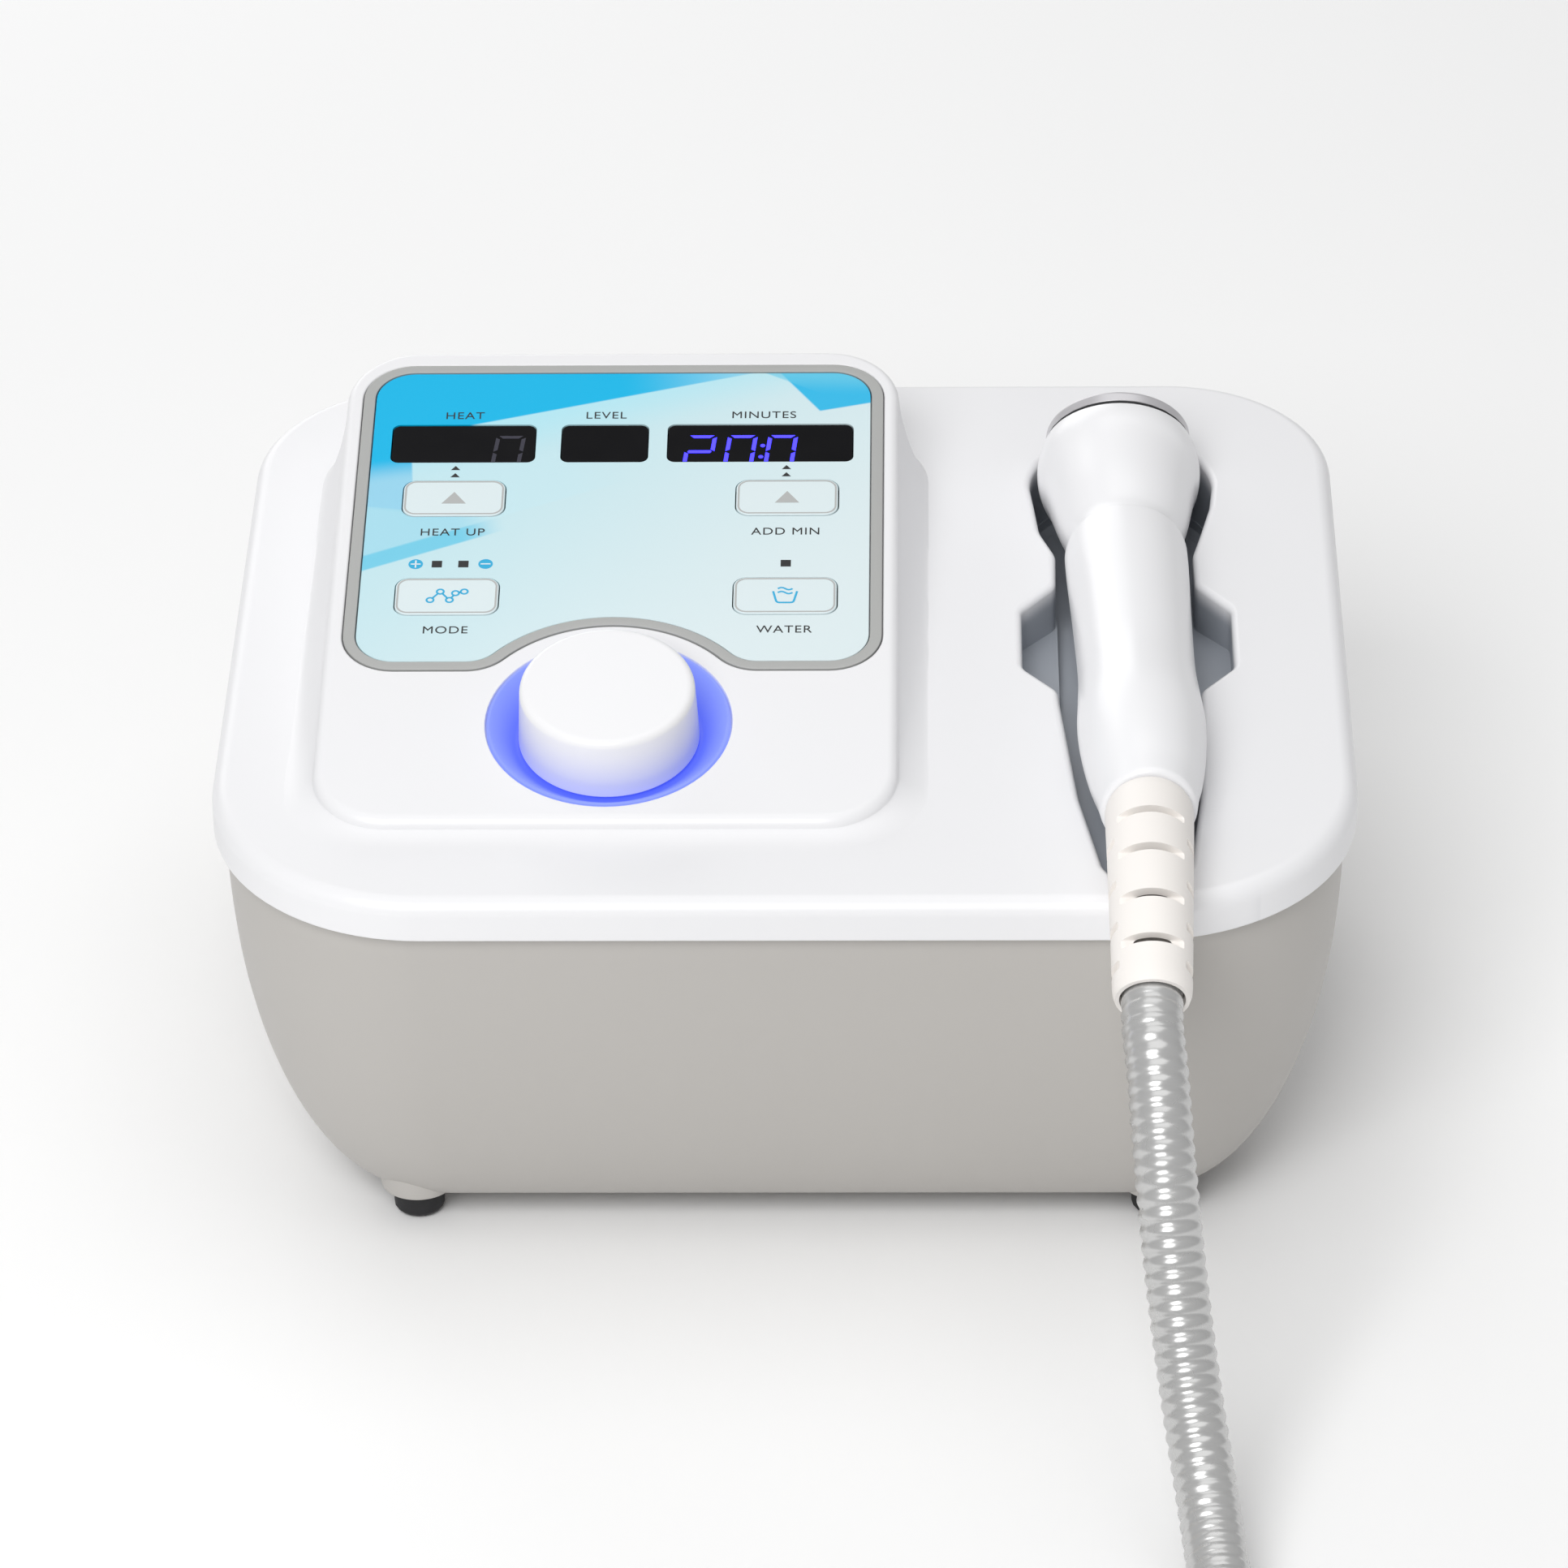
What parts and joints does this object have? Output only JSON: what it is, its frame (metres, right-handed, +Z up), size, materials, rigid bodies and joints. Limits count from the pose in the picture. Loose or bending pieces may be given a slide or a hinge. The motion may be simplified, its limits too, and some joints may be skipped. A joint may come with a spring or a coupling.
{
  "type": "hot and cold therapy device",
  "caption": "Tabletop therapy unit with a sloping control panel, a push-and-turn dial in a light ring, a cradled flat-ended handpiece on a corrugated hose, and rear water and mains fittings.",
  "frame": {"origin": "middle of the case's outline, on the table plane under the feet", "axes": "+X to the right of someone facing the panel, +Y towards the rear fittings, +Z up; the front faces -Y"},
  "size_m": [0.336, 0.6918, 0.183],
  "materials": {
    "white_abs": "semi-gloss white moulding",
    "grey_abs": "satin warm grey moulding",
    "silver_trim": "satin grey",
    "overlay": "satin pale blue film",
    "window": "glossy black",
    "key": "satin pale blue",
    "blue_light": "translucent blue, lit",
    "rubber": "matt black",
    "steel": "satin",
    "aluminium": "satin",
    "relief_white": "matt warm white",
    "hose": "grey with a metallic sheen",
    "black_plastic": "satin black",
    "circuit_board": "green solder mask",
    "clear_tank": "translucent",
    "tube": "milky silicone"
  },
  "bodies": {
    "unit": {"base_tub": "grey_abs", "top_shell": "white_abs", "panel_frame": "silver_trim", "control_panel": "overlay", "display_window_left": "window", "display_window_middle": "window", "display_window_right": "window", "led_display_left": "black_plastic", "led_display_middle": "black_plastic", "led_display_right": "black_plastic", "temperature_switch": "black_plastic", "time_switch": "black_plastic", "pulse_switch": "black_plastic", "fill_switch": "black_plastic", "display_board": "circuit_board", "light_ring": "blue_light", "encoder_body": "black_plastic", "main_board": "circuit_board", "power_supply": "aluminium", "water_tank": "clear_tank", "pump_body": "black_plastic", "pump_cover": "black_plastic", "radiator": "aluminium", "fan_frame": "black_plastic", "delivery_tube": "tube", "rear_plate": "steel", "vent_grille": "black_plastic", "inlet_module": "black_plastic", "filler_port": "white_abs", "hose_socket": "black_plastic", "hose_coil": "hose", "hose_connector": "black_plastic", "handpiece_hose": "hose", "foot_front_left": "rubber", "foot_screw_front_left": "steel", "foot_front_right": "rubber", "foot_screw_front_right": "steel", "foot_rear_left": "rubber", "foot_screw_rear_left": "steel", "foot_rear_right": "rubber", "foot_screw_rear_right": "steel"},
    "temperature_key": {"temperature_key": "key"},
    "time_key": {"time_key": "key"},
    "pulse_key": {"pulse_key": "key"},
    "fill_key": {"fill_key": "key"},
    "encoder_push": {"encoder_plunger": "black_plastic"},
    "intensity_knob": {"intensity_knob": "white_abs", "encoder_shaft": "steel"},
    "power_rocker": {"power_rocker": "black_plastic"},
    "fuse_drawer": {"fuse_drawer": "black_plastic"},
    "filler_cap": {"filler_cap": "white_abs"},
    "fan_rotor": {"fan_rotor": "black_plastic"},
    "pump_impeller": {"pump_impeller": "steel"},
    "handpiece": {"handpiece_head_shell": "white_abs", "handpiece_grip": "white_abs", "treatment_plate": "aluminium", "plate_seal": "rubber", "thermoelectric_module": "relief_white", "cooling_block": "aluminium", "strain_relief": "relief_white"}
  },
  "joints": [
    {"name": "temperature_key_press", "type": "slide", "parent": "unit", "child": "temperature_key", "axis": [0, 0.2215, -0.9751], "range_m": [0, 0.0004], "stiffness_N_per_m": 2500, "springref_m": -0.0004},
    {"name": "time_key_press", "type": "slide", "parent": "unit", "child": "time_key", "axis": [0, 0.2215, -0.9751], "range_m": [0, 0.0004], "stiffness_N_per_m": 2500, "springref_m": -0.0004},
    {"name": "pulse_key_press", "type": "slide", "parent": "unit", "child": "pulse_key", "axis": [0, 0.2215, -0.9751], "range_m": [0, 0.0004], "stiffness_N_per_m": 2500, "springref_m": -0.0004},
    {"name": "fill_key_press", "type": "slide", "parent": "unit", "child": "fill_key", "axis": [0, 0.2215, -0.9751], "range_m": [0, 0.0004], "stiffness_N_per_m": 2500, "springref_m": -0.0004},
    {"name": "knob_push", "type": "slide", "parent": "unit", "child": "encoder_push", "axis": [0, 0.2215, -0.9751], "range_m": [0, 0.0005], "stiffness_N_per_m": 4000, "springref_m": -0.0008},
    {"name": "knob_turn", "type": "hinge", "parent": "encoder_push", "child": "intensity_knob", "pos_m": [-0.0516, -0.06563, 0.14529], "axis": [0, -0.2215, 0.9751], "continuous": true},
    {"name": "rocker_tilt", "type": "hinge", "parent": "unit", "child": "power_rocker", "pos_m": [-0.008, 0.1344, 0.0935], "axis": [1, 0, 0], "range_deg": [-20, 0]},
    {"name": "fuse_drawer_slide", "type": "slide", "parent": "unit", "child": "fuse_drawer", "axis": [0, 1, 0], "range_m": [0, 0.018]},
    {"name": "filler_cap_off", "type": "slide", "parent": "unit", "child": "filler_cap", "axis": [0, 1, 0], "range_m": [0, 0.03]},
    {"name": "fan_spin", "type": "hinge", "parent": "unit", "child": "fan_rotor", "pos_m": [-0.074, 0.123, 0.0745], "axis": [0, 1, 0], "continuous": true},
    {"name": "pump_spin", "type": "hinge", "parent": "unit", "child": "pump_impeller", "pos_m": [0.09, -0.0175, 0.0315], "axis": [0, 1, 0], "continuous": true},
    {"name": "handpiece_lift", "type": "slide", "parent": "unit", "child": "handpiece", "axis": [0, 0, 1], "range_m": [0, 0.06]}
  ]
}
